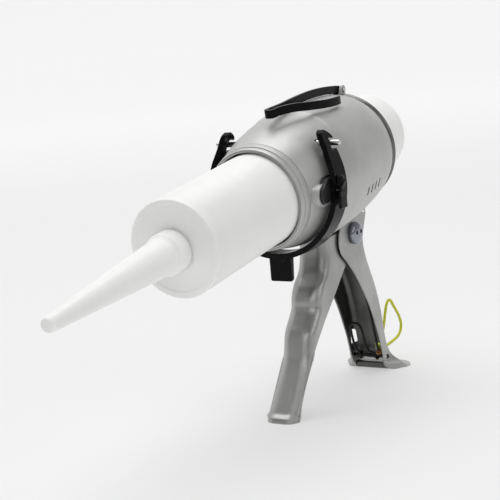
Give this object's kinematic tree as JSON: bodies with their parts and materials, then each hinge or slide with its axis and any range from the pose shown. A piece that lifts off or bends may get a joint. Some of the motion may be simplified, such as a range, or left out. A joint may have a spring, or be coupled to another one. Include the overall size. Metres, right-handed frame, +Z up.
{
  "type": "caulking gun",
  "caption": "Caulking gun: polished barrel housing on two channel grips, white cartridge with nozzle, push sleeve, finger trigger, hoop-shaped release bail and top clip.",
  "frame": {"origin": "on the floor under the middle of the whole gun, lanyard left out", "axes": "+Y back from the nozzle towards the push sleeve, level; +Z up; +X to the right as seen looking along +Y"},
  "size_m": [0.0816, 0.3267, 0.173],
  "materials": {
    "cast_aluminium": "cast, machined and polished, satin",
    "pressed_alloy": "pressed and brushed",
    "bright_steel": "bright",
    "spring_steel": "bare spring wire",
    "black_coated_steel": "black, semi-gloss",
    "black_plastic": "black, semi-matte",
    "white_plastic": "white, smooth",
    "yellow_cord": "braided cord"
  },
  "bodies": {
    "frame": {"barrel_housing": "cast_aluminium", "front_bezel": "cast_aluminium", "rear_retaining_ring": "cast_aluminium", "rear_guide_bush": "black_plastic", "rear_handle": "pressed_alloy", "pivot_bolt": "bright_steel", "pivot_nut": "bright_steel", "pivot_bush": "bright_steel", "handle_screw_left": "bright_steel", "handle_screw_right": "bright_steel", "bail_pivot_block_left": "black_plastic", "bail_pivot_block_right": "black_plastic", "bail_screw_left": "black_coated_steel", "bail_screw_right": "black_coated_steel", "clip_hinge_pin": "bright_steel", "drive_spring": "spring_steel", "brake_spring": "spring_steel", "trigger_return_spring": "spring_steel", "lock_bail_pin": "bright_steel", "lanyard": "yellow_cord", "lanyard_knot": "yellow_cord"},
    "trigger": {"trigger": "pressed_alloy", "drive_roller": "bright_steel", "roller_pin": "bright_steel"},
    "drive_ring": {"drive_ring": "bright_steel"},
    "brake": {"brake_ring": "bright_steel", "brake_push_pin": "bright_steel"},
    "clip": {"release_clip": "black_coated_steel"},
    "bail": {"bail_hoop": "black_coated_steel", "bail_stop_left": "black_coated_steel", "bail_stop_right": "black_coated_steel"},
    "collet": {"collet": "black_plastic", "release_pin_left": "bright_steel", "release_pin_right": "bright_steel"},
    "plunger": {"push_sleeve": "white_plastic", "sleeve_end_cap": "white_plastic", "plunger_disc": "bright_steel", "plunger_screw": "bright_steel", "plunger_nut": "bright_steel"},
    "piston": {"cartridge_piston": "white_plastic"},
    "cartridge": {"cartridge_tube": "white_plastic", "nozzle": "white_plastic"},
    "lock_bail": {"lock_bail": "spring_steel"}
  },
  "joints": [
    {"name": "trigger_pivot", "type": "hinge", "parent": "frame", "child": "trigger", "pos_m": [0, 0.1028, 0.0894], "axis": [1, 0, 0], "range_deg": [0, 22], "stiffness_Nm_per_rad": 0.4, "springref_deg": -34.38},
    {"name": "drive_ring_slide", "type": "slide", "parent": "frame", "child": "drive_ring", "axis": [0, -0.9912, -0.1323], "range_m": [0, 0.0066], "deforming": ["drive_spring"]},
    {"name": "brake_ring_slide", "type": "slide", "parent": "frame", "child": "brake", "axis": [0, -0.9912, -0.1323], "range_m": [0, 0.0017], "deforming": ["brake_spring"]},
    {"name": "clip_hinge", "type": "hinge", "parent": "frame", "child": "clip", "pos_m": [0, 0.11867, 0.16934], "axis": [-1, 0, 0], "range_deg": [0, 14], "stiffness_Nm_per_rad": 0.05, "springref_deg": -20.05},
    {"name": "bail_hinge", "type": "hinge", "parent": "frame", "child": "bail", "pos_m": [0, 0.0393, 0.1286], "axis": [-1, 0, 0], "range_deg": [0, 8]},
    {"name": "collet_slide", "type": "slide", "parent": "frame", "child": "collet", "axis": [0, 0.9912, 0.1323], "range_m": [0, 0.003]},
    {"name": "sleeve_slide", "type": "slide", "parent": "frame", "child": "plunger", "axis": [0, -0.9912, -0.1323], "range_m": [0, 0.088]},
    {"name": "piston_slide", "type": "slide", "parent": "frame", "child": "piston", "axis": [0, -0.9912, -0.1323], "range_m": [0, 0.088]},
    {"name": "cartridge_slide", "type": "slide", "parent": "frame", "child": "cartridge", "axis": [0, -0.9912, -0.1323], "range_m": [0, 0.12]},
    {"name": "lock_bail_hinge", "type": "hinge", "parent": "frame", "child": "lock_bail", "pos_m": [0, 0.1333, 0.0086], "axis": [1, 0, 0], "range_deg": [0, 60]}
  ],
  "couplings": [
    {"joint": "drive_ring_slide", "follows": "trigger_pivot", "m_per_rad": 0.0169},
    {"joint": "brake_ring_slide", "follows": "clip_hinge", "m_per_rad": 0.0067},
    {"joint": "collet_slide", "follows": "bail_hinge", "m_per_rad": 0.0205},
    {"joint": "piston_slide", "follows": "sleeve_slide", "ratio": 1}
  ]
}
